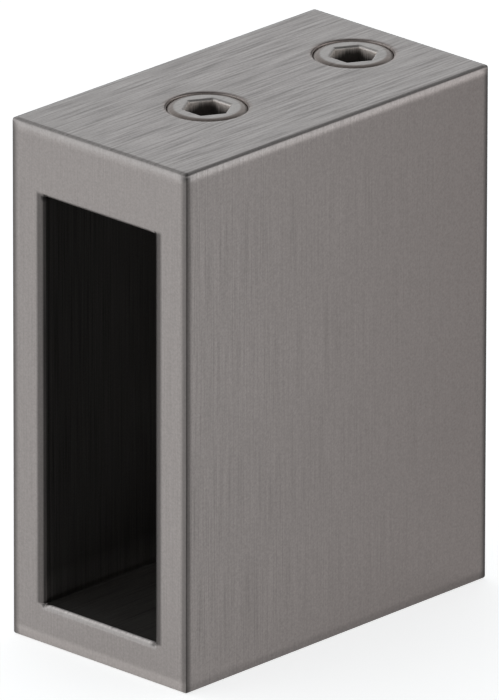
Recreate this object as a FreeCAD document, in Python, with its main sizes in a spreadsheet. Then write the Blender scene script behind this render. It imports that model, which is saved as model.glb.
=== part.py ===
import FreeCAD, Part
import os
import sys
import Sketcher

# Shower screen rail bracket: a block with a rectangular socket that takes the end of a flat rail.
# The origin is where the rail's axis meets the wall. +Y points into the wall, -Y along the rail, +Z up.

doc = FreeCAD.newDocument("rail_bracket")
sheet = doc.addObject("Spreadsheet::Sheet", "sizes")

SIZES = {
    # Flat rail, the free space round it in the socket, and how far it goes in.
    "rail_width": 10.0,
    "rail_height": 30.0,
    "rail_clearance": 0.4,
    "rail_engagement": 21.0,
    # Block round the socket. The roof is thicker than the other walls, for the screw threads.
    "side_wall": 3.1,
    "floor_wall": 3.0,
    "roof_wall": 5.2,
    "edge_round": 0.2,
    "rim_round": 0.3,
    "socket_corner": 0.1,
    # Grub screws, flush with the block's top, and their holes. The thread's crests are cut back a little, as
    # on a real screw, and the front screw is placed from the socket's mouth.
    "thread_diameter": 6.0,
    "thread_crest_cut": 0.05,
    "thread_clearance": 0.05,
    "hole_mouth_round": 0.1,
    "rail_screw_inset": 11.0,
    "screw_tip_gap": 0.05,
    "screw_top_round": 0.4,
    "hex_mouth_chamfer": 0.15,
    "hex_drill_cone": 0.45,
    "screw_web": 1.4,
    "cup_depth": 0.75,
    "cup_land": 0.15,
    # Anchor at the wall end of the socket, and its countersunk holes for the wall screws.
    "anchor_depth": 10.0,
    "anchor_side_gap": 0.1,
    "anchor_headroom": 0.15,
    "anchor_chamfer": 0.4,
    "wall_hole_spacing": 16.0,
    "wall_hole_diameter": 4.5,
    "wall_countersink": 8.6,
}
for row, (alias, size) in enumerate(SIZES.items(), start=1):
    sheet.set(f"A{row}", alias)
    sheet.set(f"B{row}", str(size))
    sheet.setAlias(f"B{row}", alias)
doc.recompute()

# Sizes that follow from the driving ones.
SOCKET_WIDTH = "(sizes.rail_width + 2 * sizes.rail_clearance)"
SOCKET_HEIGHT = "(sizes.rail_height + 2 * sizes.rail_clearance)"
BODY_DEPTH = "(sizes.rail_engagement + sizes.anchor_depth)"
BODY_TOP = f"({SOCKET_HEIGHT} / 2 + sizes.roof_wall)"
ANCHOR_WIDTH = f"({SOCKET_WIDTH} - 2 * sizes.anchor_side_gap)"
ANCHOR_HEIGHT = f"({SOCKET_HEIGHT} - sizes.anchor_headroom)"
RAIL_SCREW_Y = f"(sizes.rail_screw_inset - {BODY_DEPTH})"
ANCHOR_SCREW_Y = "(-sizes.anchor_depth / 2)"

# A grub screw's hexagon and cup are half as wide as its thread. It ends on the anchor's top.
HOLE_DIAMETER = "(sizes.thread_diameter - 2 * sizes.thread_crest_cut)"
SCREW_RADIUS = f"({HOLE_DIAMETER} / 2 - sizes.thread_clearance)"
SCREW_LENGTH = "(sizes.roof_wall + sizes.anchor_headroom - sizes.screw_tip_gap)"
HEX_WIDTH = "(sizes.thread_diameter / 2)"
HEX_CORNER = f"({HEX_WIDTH} / sqrt(3))"
HEX_DEPTH = f"({SCREW_LENGTH} - sizes.cup_depth - sizes.screw_web - sizes.hex_drill_cone)"
CUP_RADIUS = "(sizes.thread_diameter / 4)"
TIP_RADIUS = f"({CUP_RADIUS} + sizes.cup_land)"

# Edges nearer than this to a wall, in millimetres, lie on it.
NEAR = 1e-4


def value(rule):
    """Present value of a size rule, in millimetres."""
    return float(sheet.evalExpression(rule))


def new_body(name):
    body = doc.addObject("PartDesign::Body", name)
    body.Label = name
    return body


def new_sketch(body, name, plane, offset=None):
    """An empty sketch on one of the body's own planes, moved along the plane's normal by a rule."""
    sketch = body.newObject("Sketcher::SketchObject", name)
    support = next(item for item in body.Origin.OriginFeatures if item.Role == plane)
    sketch.AttachmentSupport = [(support, "")]
    sketch.MapMode = "FlatFace"
    if offset:
        sketch.setExpression("AttachmentOffset.Base.z", offset)
    return sketch


def dimension(sketch, name, rule, kind, *geometry):
    """A named dimension of the sketch that takes its value from a rule."""
    index = sketch.addConstraint(Sketcher.Constraint(kind, *geometry, value(rule)))
    sketch.renameConstraint(index, name)
    sketch.setExpression(f"Constraints.{name}", rule)


def closed_lines(sketch, corners):
    """Closed outline of straight lines. Each corner is a pair of rules, x and y from the sketch's origin."""
    points = [FreeCAD.Vector(value(x), value(y), 0) for x, y in corners]
    count = len(points)
    for line in range(count):
        sketch.addGeometry(Part.LineSegment(points[line], points[(line + 1) % count]), False)
    for line, (x, y) in enumerate(corners):
        sketch.addConstraint(Sketcher.Constraint("Coincident", line, 2, (line + 1) % count, 1))
        dimension(sketch, f"across{line}", x, "DistanceX", -1, 1, line, 1)
        dimension(sketch, f"up{line}", y, "DistanceY", -1, 1, line, 1)


def rectangle(sketch, left, right, bottom, top):
    closed_lines(sketch, [(left, bottom), (right, bottom), (right, top), (left, top)])


def round_centres(sketch, diameter, *heights):
    """Circles on the sketch's vertical axis, one for each height rule."""
    for index, height in enumerate(heights):
        centre = FreeCAD.Vector(0, value(height), 0)
        sketch.addGeometry(Part.Circle(centre, FreeCAD.Vector(0, 0, 1), value(diameter) / 2), False)
        sketch.addConstraint(Sketcher.Constraint("PointOnObject", index, 3, -2))
        dimension(sketch, f"height{index}", height, "DistanceY", -1, 1, index, 3)
        dimension(sketch, f"diameter{index}", diameter, "Diameter", index)


def straight(body, kind, name, sketch, length):
    """A pad or pocket of the sketch, as long as a rule says."""
    feature = body.newObject(kind, name)
    feature.Profile = sketch
    feature.setExpression("Length", length)
    doc.recompute()
    return feature


def turned(body, kind, name, corners):
    """A revolution or groove: a half section in the body's XZ plane, turned all the way round Z."""
    sketch = new_sketch(body, f"{name}_section", "XZ_Plane")
    closed_lines(sketch, corners)
    feature = body.newObject(kind, name)
    feature.Profile = sketch
    feature.ReferenceAxis = (sketch, ["V_Axis"])
    doc.recompute()
    return feature


def dressed(body, kind, name, base, wanted, key, rule):
    """A fillet or chamfer on the edges of the last feature for which wanted(edge) is true."""
    edges = [f"Edge{n}" for n, edge in enumerate(base.Shape.Edges, start=1) if wanted(edge)]
    feature = body.newObject(kind, name)
    feature.Base = (base, edges)
    feature.setExpression(key, rule)
    doc.recompute()
    return feature


def countersunk(body, name, sketch, diameter, mouth, depth):
    """Flat-ended round holes with a 90 degree mouth, one at each circle of the sketch."""
    hole = body.newObject("PartDesign::Hole", name)
    hole.Profile = sketch
    hole.ThreadType = "None"
    hole.HoleCutType = "Countersink"
    hole.HoleCutCustomValues = True
    hole.HoleCutCountersinkAngle = 90.0
    hole.DepthType = "Dimension"
    hole.DrillPoint = "Flat"
    hole.setExpression("Diameter", diameter)
    hole.setExpression("HoleCutDiameter", mouth)
    hole.setExpression("Depth", depth)
    doc.recompute()
    return hole


def every_edge(edge):
    return True


def on_socket(edge):
    """True for an edge that lies on the socket's walls."""
    box = edge.BoundBox
    past_side = max(abs(box.XMin), abs(box.XMax)) - value(SOCKET_WIDTH) / 2
    past_roof = max(abs(box.ZMin), abs(box.ZMax)) - value(SOCKET_HEIGHT) / 2
    return past_side < NEAR and past_roof < NEAR


def socket_corner(edge):
    """True for the four inside corners that run the length of the socket."""
    return on_socket(edge) and edge.BoundBox.YLength > NEAR


def socket_rim(edge):
    """True for the edges round the socket's two mouths."""
    return on_socket(edge) and edge.BoundBox.YLength < NEAR


def hole_mouth(edge):
    """True for the round edges of the screw holes in the block's top."""
    box = edge.BoundBox
    below_top = value(BODY_TOP) - box.ZMin
    return below_top < NEAR and isinstance(edge.Curve, Part.Circle)


def screw_top(edge):
    """True for an edge of a screw's flat top."""
    return max(abs(edge.BoundBox.ZMin), abs(edge.BoundBox.ZMax)) < NEAR


def screw_rim(edge):
    """True for the round edge of a screw's top."""
    return screw_top(edge) and edge.BoundBox.XMax - value(HEX_CORNER) > NEAR


def hexagon_mouth(edge):
    """True for the edges of the hexagon in a screw's top."""
    return screw_top(edge) and not screw_rim(edge)


def make_bracket_body():
    """Block with rounded outer edges, cut right through by the socket, with two screw holes on top."""
    body = new_body("bracket_body")
    outline = new_sketch(body, "block_outline", "XZ_Plane")
    rectangle(
        outline,
        f"-{SOCKET_WIDTH} / 2 - sizes.side_wall",
        f"{SOCKET_WIDTH} / 2 + sizes.side_wall",
        f"-{SOCKET_HEIGHT} / 2 - sizes.floor_wall",
        BODY_TOP,
    )
    block = straight(body, "PartDesign::Pad", "block", outline, BODY_DEPTH)
    dressed(body, "PartDesign::Fillet", "block_edges", block, every_edge, "Radius", "sizes.edge_round")

    opening = new_sketch(body, "socket_outline", "XZ_Plane", BODY_DEPTH)
    rectangle(
        opening,
        f"-{SOCKET_WIDTH} / 2",
        f"{SOCKET_WIDTH} / 2",
        f"-{SOCKET_HEIGHT} / 2",
        f"{SOCKET_HEIGHT} / 2",
    )
    socket = straight(body, "PartDesign::Pocket", "socket", opening, BODY_DEPTH)
    corners = dressed(
        body, "PartDesign::Fillet", "socket_corners", socket, socket_corner, "Radius", "sizes.socket_corner"
    )
    dressed(body, "PartDesign::Fillet", "socket_rims", corners, socket_rim, "Radius", "sizes.rim_round")

    # The holes are as wide as the outside of the thread, and end in the open socket.
    centres = new_sketch(body, "screw_hole_centres", "XY_Plane", BODY_TOP)
    round_centres(centres, HOLE_DIAMETER, RAIL_SCREW_Y, ANCHOR_SCREW_Y)
    depth = "sizes.roof_wall + sizes.rail_clearance"
    holes = straight(body, "PartDesign::Pocket", "screw_holes", centres, depth)
    dressed(body, "PartDesign::Fillet", "hole_mouths", holes, hole_mouth, "Radius", "sizes.hole_mouth_round")
    return body


def make_wall_anchor():
    """Block in the wall end of the socket, standing on its floor, with two holes for wall screws."""
    body = new_body("wall_anchor")
    outline = new_sketch(body, "anchor_outline", "XZ_Plane")
    rectangle(
        outline,
        f"-{ANCHOR_WIDTH} / 2",
        f"{ANCHOR_WIDTH} / 2",
        f"-{SOCKET_HEIGHT} / 2",
        f"{ANCHOR_HEIGHT} - {SOCKET_HEIGHT} / 2",
    )
    slab = straight(body, "PartDesign::Pad", "anchor_slab", outline, "sizes.anchor_depth")
    dressed(body, "PartDesign::Chamfer", "anchor_edges", slab, every_edge, "Size", "sizes.anchor_chamfer")
    centres = new_sketch(body, "wall_hole_centres", "XZ_Plane", "sizes.anchor_depth")
    round_centres(
        centres, "sizes.wall_hole_diameter", "-sizes.wall_hole_spacing / 2", "sizes.wall_hole_spacing / 2"
    )
    countersunk(
        body,
        "wall_holes",
        centres,
        "sizes.wall_hole_diameter",
        "sizes.wall_countersink",
        "sizes.anchor_depth",
    )
    return body


def make_grub_screw(name, place):
    """Headless screw with a hexagon socket in its top and a cup point. Its own origin is at its top."""
    body = new_body(name)
    turned(
        body,
        "PartDesign::Revolution",
        f"{name}_blank",
        [
            ("0", "0"),
            (SCREW_RADIUS, "0"),
            (SCREW_RADIUS, f"{SCREW_RADIUS} - {TIP_RADIUS} - {SCREW_LENGTH}"),
            (TIP_RADIUS, f"-{SCREW_LENGTH}"),
            (CUP_RADIUS, f"-{SCREW_LENGTH}"),
            ("0", f"sizes.cup_depth - {SCREW_LENGTH}"),
        ],
    )

    # Two corners of the hexagon lie on the line across the bracket.
    hexagon = new_sketch(body, f"{name}_hexagon", "XY_Plane")
    closed_lines(
        hexagon,
        [
            (HEX_CORNER, "0"),
            (f"{HEX_CORNER} / 2", f"{HEX_WIDTH} / 2"),
            (f"-{HEX_CORNER} / 2", f"{HEX_WIDTH} / 2"),
            (f"-{HEX_CORNER}", "0"),
            (f"-{HEX_CORNER} / 2", f"-{HEX_WIDTH} / 2"),
            (f"{HEX_CORNER} / 2", f"-{HEX_WIDTH} / 2"),
        ],
    )
    socket = straight(body, "PartDesign::Pocket", f"{name}_socket", hexagon, HEX_DEPTH)
    rim = dressed(
        body, "PartDesign::Fillet", f"{name}_rim", socket, screw_rim, "Radius", "sizes.screw_top_round"
    )
    dressed(
        body,
        "PartDesign::Chamfer",
        f"{name}_mouth",
        rim,
        hexagon_mouth,
        "Size",
        "sizes.hex_mouth_chamfer",
    )

    # The pilot drill leaves a cone under the hexagon.
    turned(
        body,
        "PartDesign::Groove",
        f"{name}_drill_end",
        [
            ("0", f"-{HEX_DEPTH} / 2"),
            (f"{HEX_WIDTH} / 2", f"-{HEX_DEPTH} / 2"),
            (f"{HEX_WIDTH} / 2", f"-{HEX_DEPTH}"),
            ("0", f"-{HEX_DEPTH} - sizes.hex_drill_cone"),
        ],
    )
    body.setExpression("Placement.Base.y", place)
    body.setExpression("Placement.Base.z", BODY_TOP)
    return body


pieces = [
    make_bracket_body(),
    make_wall_anchor(),
    make_grub_screw("rail_clamp_screw", RAIL_SCREW_Y),
    make_grub_screw("anchor_clamp_screw", ANCHOR_SCREW_Y),
]
doc.recompute()

# Nothing is written unless every object is sound and every piece is one closed solid.
faults = [item.Label for item in doc.Objects if {"Invalid", "Error"} & set(item.State)]
for piece in pieces:
    if piece.Shape.isNull() or not piece.Shape.isValid() or len(piece.Shape.Solids) != 1:
        faults.append(piece.Label)
if faults:
    sys.exit("not written, faulty: " + ", ".join(faults))

os.makedirs("parts", exist_ok=True)
for piece in pieces:
    piece.Shape.exportStep(f"parts/{piece.Label}.step")
    print(piece.Label, round(piece.Shape.Volume, 2), piece.Shape.BoundBox)
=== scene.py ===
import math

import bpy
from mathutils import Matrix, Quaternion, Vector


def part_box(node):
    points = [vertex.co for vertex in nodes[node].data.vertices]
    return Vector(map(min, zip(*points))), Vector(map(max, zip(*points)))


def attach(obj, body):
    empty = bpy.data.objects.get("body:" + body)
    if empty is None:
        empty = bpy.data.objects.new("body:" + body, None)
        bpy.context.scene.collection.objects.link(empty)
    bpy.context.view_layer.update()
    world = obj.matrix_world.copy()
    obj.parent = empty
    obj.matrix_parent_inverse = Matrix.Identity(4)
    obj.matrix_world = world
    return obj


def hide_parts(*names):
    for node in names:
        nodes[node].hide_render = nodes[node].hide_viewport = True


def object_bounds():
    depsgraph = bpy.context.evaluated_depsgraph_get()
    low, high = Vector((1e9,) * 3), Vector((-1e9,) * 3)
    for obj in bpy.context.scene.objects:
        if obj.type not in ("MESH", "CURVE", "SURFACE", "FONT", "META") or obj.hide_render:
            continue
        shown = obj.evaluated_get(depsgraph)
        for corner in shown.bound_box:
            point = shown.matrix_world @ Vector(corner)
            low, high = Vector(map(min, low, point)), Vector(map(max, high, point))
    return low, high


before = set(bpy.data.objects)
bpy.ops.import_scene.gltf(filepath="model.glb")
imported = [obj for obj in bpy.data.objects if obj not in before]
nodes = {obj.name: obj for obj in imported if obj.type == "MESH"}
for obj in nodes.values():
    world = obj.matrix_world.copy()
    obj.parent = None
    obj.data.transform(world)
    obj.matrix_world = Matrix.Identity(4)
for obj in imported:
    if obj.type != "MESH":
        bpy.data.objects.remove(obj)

# %% [markdown]
# The bracket as a fixed frame
#
# The imported model comes in as four plain metal pieces: the block with its socket, the anchor at the wall end
# of that socket, and two grub screws in the top. They could be modelled again here, but their sizes are
# already right, so the block and the anchor stay as they are and only get a finish. The box of the loaded
# model is kept, and the floor is set just under it.

MM = 0.001


def show_mm(label, *lengths):
    print(f"{label}, mm:", *(round(length / MM, 3) for length in lengths))


def as_box(low, high):
    """A box's centre and half size, by the names of the shader groups' inputs."""
    return {"Centre": (low + high) / 2, "Half_Size": (high - low) / 2}


cad_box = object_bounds()
block_low, block_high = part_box("bracket_body")
BLOCK_BOX = as_box(block_low, block_high)
show_mm("block", *(block_high - block_low))

# %% [markdown]
# Walls of the block
#
# The finish changes at the socket: outside, the metal is brushed, and inside it is raw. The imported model
# does not say where one ends, so the three wall thicknesses are given here once, and the socket's own box
# follows from them and from the block's.

# %% The socket's box
SIDE_WALL = 3.1 * MM
FLOOR_WALL = 3.0 * MM
ROOF_WALL = 5.2 * MM
RIM_ROUND = 0.3 * MM

socket_low = block_low + Vector((SIDE_WALL, 0, FLOOR_WALL))
socket_high = block_high - Vector((SIDE_WALL, 0, ROOF_WALL))
SOCKET_BOX = as_box(socket_low, socket_high)
socket_centre, socket_half = SOCKET_BOX.values()
show_mm("socket", *(socket_high - socket_low))

# %% [markdown]
# Node trees in a few words
#
# Every finish below, and the screws too, is a tree of nodes. Trees can be drawn by hand in the editor, but
# in a script each node takes several lines. These helpers bring that down to one call: make a node, label
# it, and feed it with numbers or with other nodes' outputs, which also tell the tree that it belongs to.


# %% Helpers for nodes
def feed(socket, value):
    """Links a socket to another one, or sets it to a plain value. None leaves it as it is."""
    if isinstance(value, bpy.types.NodeSocket):
        socket.id_data.links.new(value, socket)
    elif value is not None:
        socket.default_value = value


def feed_all(sockets, **values):
    """Feeds sockets by their names, with _ for each space."""
    for name, value in values.items():
        feed(sockets[name.replace("_", " ")], value)


def new_node(tree, kind, label, *values, **settings):
    """A labelled node. Settings are its properties, and values feed its inputs in order."""
    node = tree.nodes.new(kind)
    node.label = label
    for key, setting in settings.items():
        setattr(node, key, setting)
    for socket, value in zip(node.inputs, values):
        feed(socket, value)
    return node


def fed_node(kind, label, *values, **settings):
    """A node in the tree of the sockets among its values."""
    tree = next(value.id_data for value in values if isinstance(value, bpy.types.NodeSocket))
    return new_node(tree, kind, label, *values, **settings)


def new_tree(name, kind, inputs, outputs):
    """A node group with named sockets, and the sockets of its two ends."""
    tree = bpy.data.node_groups.new(name, kind)
    for label, socket_kind, default in inputs:
        socket = tree.interface.new_socket(label, in_out="INPUT", socket_type=f"NodeSocket{socket_kind}")
        feed(socket, default)
    for label, socket_kind in outputs:
        tree.interface.new_socket(label, in_out="OUTPUT", socket_type=f"NodeSocket{socket_kind}")
    start = new_node(tree, "NodeGroupInput", "what is given")
    end = new_node(tree, "NodeGroupOutput", "what comes out")
    return tree, start.outputs, end.inputs


def show_tree(tree):
    print("tree:", tree.name, len(tree.nodes), "nodes")


print("node helpers ready")


# %% Helpers for sums and ranges
def calculate(operation, label, *values):
    return fed_node("ShaderNodeMath", label, *values, operation=operation).outputs[0]


def vector(operation, label, *values):
    return fed_node("ShaderNodeVectorMath", label, *values, operation=operation).outputs[0]


def product(label, *factors):
    value = factors[0]
    for factor in factors[1:]:
        value = calculate("MULTIPLY", label, value, factor)
    return value


def split(value):
    """The X, Y and Z outputs of a vector."""
    return fed_node("ShaderNodeSeparateXYZ", "along each axis", value).outputs


def join(label, x, y, z):
    return fed_node("ShaderNodeCombineXYZ", label, x, y, z).outputs[0]


def remap(label, value, low, high, new_low=0.0, new_high=1.0):
    """Moves a value from one range to another in a straight line, with its ends held."""
    return fed_node("ShaderNodeMapRange", label, value, low, high, new_low, new_high).outputs[0]


def ease(label, *values):
    """Moves a value as remap does, but in an S curve."""
    moved = remap(label, *values)
    moved.node.interpolation_type = "SMOOTHSTEP"
    return moved


print("sums and ranges ready")

# %% Helpers for blends and places
# For each kind, how many of the Mix node's inputs come between the factor and its own, and its output
MIX_SOCKETS = {"FLOAT": (1, 0), "VECTOR": (3, 1), "RGBA": (5, 2)}


def mix(kind, label, factor, first, second, **settings):
    """Blends two numbers, vectors or colours."""
    skipped, output = MIX_SOCKETS[kind]
    values = (factor, *[None] * skipped, first, second)
    return fed_node("ShaderNodeMix", label, *values, data_type=kind, **settings).outputs[output]


def place_of(tree, output="Object"):
    """A point's place, or its normal, in the object's own axes."""
    return new_node(tree, "ShaderNodeTexCoord", "place on the object").outputs[output]


def place_along(tree, axis):
    """How far a point lies along one of the object's axes."""
    return split(place_of(tree))[axis]


def facing(tree, axis):
    """How much a point's normal lies along one of the object's axes, either way."""
    normal = split(place_of(tree, "Normal"))
    return calculate("ABSOLUTE", "either way", normal[axis])


print("blends for", ", ".join(MIX_SOCKETS))

# %% [markdown]
# Brushed lines, as a shader group
#
# The flat faces of the bracket are brushed with an abrasive belt: upright lines on the sides, lines along
# the rail on the top. A picture of scratches would need a flat map of every face. Stretched noise needs
# none: the object's own coordinates are squeezed along the lines, and the noise is read there. The normal
# tells level faces from upright ones, so one group serves every face and all three metals.

# %% The brushed line group
LEVEL_FACING = (0.45, 0.65)
LEVEL_LINE_SPREAD = 1.7
LEVEL_LINE_STRETCH = 1.7
UPRIGHT_LINE_STRETCH = 2.5
UPRIGHT_LINE_SHARE = 0.3
SCRATCH_START = -0.1
LINE_DETAIL = 3.0
GRAIN_DETAIL = 1.0


def level_share(tree):
    """1 on level faces, 0 on upright ones, with a soft change on the rounds between them."""
    return ease("level face", facing(tree, "Z"), *LEVEL_FACING)


def line_noise(spot, detail, scale=1.0, **settings):
    noise = fed_node("ShaderNodeTexNoise", "noise", spot, **settings)
    feed_all(noise.inputs, Scale=scale, Detail=detail)
    return calculate("SUBTRACT", "round zero", noise.outputs[0], 0.5)


def make_brushed_lines():
    """Lines along Y on level faces and along Z on upright ones, with a fine grain. Sizes are in metres."""
    inputs = [
        ("Line Width", "Float", 0.12 * MM),
        ("Line Length", "Float", 3.5 * MM),
        ("Grain Size", "Float", 0.15 * MM),
    ]
    outputs = [(label, "Float") for label in ("Lines", "Grain", "Level Face")]
    tree, given, result = new_tree("brushed_lines", "ShaderNodeTree", inputs, outputs)
    level = level_share(tree)
    place = place_of(tree)
    x, y, z = split(place)
    around = calculate("ADD", "way round the sides", x, y)
    spots = []
    for label, across, spread, along, stretch in (
        ("upright lines", around, 1.0, z, UPRIGHT_LINE_STRETCH),
        ("lines along the rail", x, LEVEL_LINE_SPREAD, y, LEVEL_LINE_STRETCH),
    ):
        width = product("width", given["Line Width"], spread)
        length = product("length", given["Line Length"], stretch)
        steps_across = calculate("DIVIDE", "across", across, width)
        steps_along = calculate("DIVIDE", "along", along, length)
        spots.append(join(label, steps_across, steps_along, 0.0))
    spot = mix("VECTOR", "lines by facing", level, *spots)
    lines = line_noise(spot, LINE_DETAIL, noise_dimensions="2D")
    low = calculate("SUBTRACT", "below a scratch's start", lines, SCRATCH_START)
    scratches = calculate("MINIMUM", "only the lowest", low, 0.0)
    cut = calculate("ADD", "lines and scratches", scratches, lines)
    share = mix("FLOAT", "fainter on upright faces", level, UPRIGHT_LINE_SHARE, 1.0)
    fine = calculate("DIVIDE", "grains in a metre", 1.0, given["Grain Size"])
    feed(result["Lines"], product("line height", cut, share))
    feed(result["Grain"], line_noise(place, GRAIN_DETAIL, fine))
    feed(result["Level Face"], level)
    return tree


brushed_lines = make_brushed_lines()
show_tree(brushed_lines)

# %% [markdown]
# Edges of a box, as a shader group
#
# Where two brushed faces meet, the edge is rounded. The upright edges get painted shade, and the top edges a
# painted highlight. Both could be painted by hand on a map. A rule is safer: the distance to an edge follows
# from the point's place in the box. The same group serves the block, the rim of its socket and the anchor.

# %% The box edge group
BOX_INPUTS = [("Centre", "Vector", (0, 0, 0)), ("Half Size", "Vector", (1, 1, 1))]
GATE = (-0.35 * MM, -0.05 * MM)


def place_in_box(tree, given):
    """A point's place from a box's centre, and how far it lies inside each pair of the box's faces."""
    place = place_of(tree)
    offset = vector("SUBTRACT", "from the centre", place, given["Centre"])
    either_way = vector("ABSOLUTE", "either way", offset)
    return offset, vector("SUBTRACT", "from the faces", given["Half Size"], either_way)


def make_box_edges():
    """Masks that are 1 within Core of a box's upright, top or bottom edges and fall to 0 at Reach."""
    inputs = BOX_INPUTS + [("Core", "Float", 0.3 * MM), ("Reach", "Float", 0.6 * MM)]
    outputs = [(f"{label} Edge", "Float") for label in ("Upright", "Top", "Bottom")]
    tree, given, result = new_tree("box_edges", "ShaderNodeTree", inputs, outputs)
    offset, inside = place_in_box(tree, given)
    x, _, z = split(inside)

    def give_mask(label, distance, between):
        near = ease("near", distance, given["Core"], given["Reach"], 1.0, 0.0)
        gate = ease("between the other faces", between, *GATE)
        feed(result[label], product(label, near, gate))

    apart = split(vector("ABSOLUTE", "apart", inside))
    give_mask("Upright Edge", calculate("MAXIMUM", "from an upright", apart["X"], apart["Y"]), z)
    for label, operation in (("Top Edge", "SUBTRACT"), ("Bottom Edge", "ADD")):
        away = vector(operation, "from one of each pair", given["Half Size"], offset)
        give_mask(label, calculate("ABSOLUTE", "apart", split(away)["Z"]), x)
    return tree


box_edges = make_box_edges()
show_tree(box_edges)

# %% [markdown]
# Soft edges, as a shader group
#
# The edges of the block are only just broken, but the belt also wears the faces beside them, so the light
# turns the corner over half a millimetre and more. That wear is far too shallow to model. The group gives a
# lean for the normal instead: the nearer a point is to a face of the box, the more it leans that way. Inside
# the box it leans outwards; beside a hole in a face it leans into the hole.

# %% The soft edge group
def make_soft_edges():
    """A lean to add to the normal near the edges of a box, for points on its faces or round its mouths."""
    inputs = BOX_INPUTS + [("Reach", "Float", 0.6 * MM), ("Strength", "Float", 1.0)]
    tree, given, result = new_tree("soft_edges", "ShaderNodeTree", inputs, [("Lean", "Vector")])
    offset, inside = place_in_box(tree, given)
    apart = vector("ABSOLUTE", "apart", inside)
    share = vector("DIVIDE", "share of the reach", apart, given["Reach"])
    left = vector("SUBTRACT", "share left", (1, 1, 1), share)
    near = vector("MAXIMUM", "near a face", left, (0, 0, 0))
    along_normal = vector("ABSOLUTE", "along the normal", place_of(tree, "Normal"))
    free = vector("SUBTRACT", "ways it can lean", (1, 1, 1), along_normal)
    outwards = vector("SIGN", "outwards", offset)
    side = vector("SIGN", "inside or outside", inside)
    way = vector("MULTIPLY", "out or into a hole", outwards, side)
    free_way = vector("MULTIPLY", "free way", free, way)
    lean = vector("MULTIPLY", "lean", near, free_way)
    x, y, z = (ease("beside the box", distance, *GATE) for distance in split(inside))
    pairs = ((y, z), (x, z), (x, y))
    gates = join("within the other faces", *(product("within", *pair) for pair in pairs))
    beside = vector("MULTIPLY", "lean beside the box", lean, gates)
    feed(result["Lean"], vector("MULTIPLY", "how far", beside, given["Strength"]))
    return tree


soft_edges = make_soft_edges()
show_tree(soft_edges)

# %% [markdown]
# Parts of a metal material
#
# All three metals here are one shader with different inputs, so the shader's set-up is written once. Seen at
# a grazing angle a clean metal turns white; a tint keeps these duller. Brushed metal also spreads its
# reflections across the lines: the shader is anisotropic, and a tangent tells it which way "across" is.

# %% Metal shader, group and bump
GRAZING = 0.75
BUMP_DEPTH = 0.01 * MM


def new_material(name):
    """A material, its tree and its shader's inputs."""
    material = bpy.data.materials.new(name)
    material.use_nodes = True
    return material, material.node_tree, material.node_tree.nodes["Principled BSDF"].inputs


def new_metal(name, anisotropy=0.0):
    material, tree, shader = new_material(name)
    tint = (GRAZING, GRAZING, GRAZING, 1)
    feed_all(shader, Metallic=1.0, Anisotropic=anisotropy, Specular_Tint=tint)
    return material, tree, shader


def use_group(tree, group, label, **values):
    """Places a group in a material and feeds its inputs."""
    node = new_node(tree, "ShaderNodeGroup", label, node_tree=group)
    feed_all(node.inputs, **values)
    return node.outputs


def across_lines(tree):
    """Direction across the brushed lines: along X on level faces, level along the face on upright ones."""
    normal = split(place_of(tree, "Normal"))
    turned = product("turned a quarter", normal["Y"], -1.0)
    sideways = join("level along the face", turned, normal["X"], 0.0)
    return mix("VECTOR", "across by facing", level_share(tree), sideways, (1.0, 0.0, 0.0))


def leaning_normal(tree, *leans):
    """The surface's own normal with leans added, in the scene's axes as the shader wants it."""
    normal = place_of(tree, "Normal")
    for lean in leans:
        normal = vector("ADD", "leaning", normal, lean)
    turn = fed_node("ShaderNodeVectorTransform", "to the scene's axes", normal, vector_type="NORMAL")
    turn.convert_from = "OBJECT"
    turn.convert_to = "WORLD"
    return vector("NORMALIZE", "of length one", turn.outputs[0])


def scratch_bump(height, strength, normal=None):
    bump = new_node(height.id_data, "ShaderNodeBump", "depth of the lines")
    feed_all(bump.inputs, Strength=strength, Distance=BUMP_DEPTH, Height=height, Normal=normal)
    return bump.outputs[0]


show_mm("metal helpers ready, bump", BUMP_DEPTH)


# %% Tones of a metal
def tone_by(label, pattern, strength):
    """A factor round 1 that follows a pattern centred on zero."""
    return calculate("MULTIPLY_ADD", label, pattern, strength, 1.0)


def tone_where(label, mask, tone):
    """A factor that is 1, but a tone where a mask is 1."""
    return mix("FLOAT", label, mask, 1.0, tone)


def tinted(label, mask, metal, tint):
    """A colour multiplied by another one where a mask is 1."""
    return mix("RGBA", label, mask, metal, tint, blend_type="MULTIPLY")


def toned(metal, *tones):
    return tinted("toned metal", 1.0, metal, product("tones", *tones))


print("tone helpers ready")

# %% [markdown]
# Inside of the socket and its lips
#
# The socket is cut out and never brushed, so its metal is rawer; its walls are also darkened with painted
# shade and its floor lightened with painted light. It looks evenly dark to the back, though less light gets in
# there, so its tones rise with the depth as painted light, and the foot of the walls gets painted light too.
# The upright lips of its mouth get painted shade, the lower one a painted highlight, and the top round the
# screw holes a brown painted shade. A second material would need cuts in the mesh, so one material finds each
# place by a rule.

# %% Raw metal in the socket, with painted shade and light
# Painted shade darkens the walls; painted light brightens the floor, the deep end and the walls' foot
SOCKET_WALLS_SHADED = (0.153, 0.1415, 0.134, 1)
SOCKET_FLOOR_LIT = (0.468, 0.437, 0.417, 1)
RAW_START = (-0.1 * RIM_ROUND, 1.15 * RIM_ROUND)
RAW_DEPTH = 10 * MM
WALL_LIGHT_BY_DEPTH = (0.4, 1.1)
FLOOR_LIGHT_BY_DEPTH = (0.68, 0.85)
WALL_FOOT_HEIGHT = 2.5 * MM
WALL_FOOT_LIGHT = 2.3
FLOOR_FADE = 0.5 * RIM_ROUND
EDGE_MARGIN = 0.05 * MM


def place_in_socket(tree):
    """How far a point is sideways from the socket's middle, from its nearer end, and up or down."""
    place = place_of(tree)
    offset = vector("SUBTRACT", "from its centre", place, socket_centre)
    x, y, z = split(vector("ABSOLUTE", "either way", offset))
    return x, calculate("SUBTRACT", "behind the front", socket_half.y, y), z


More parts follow.
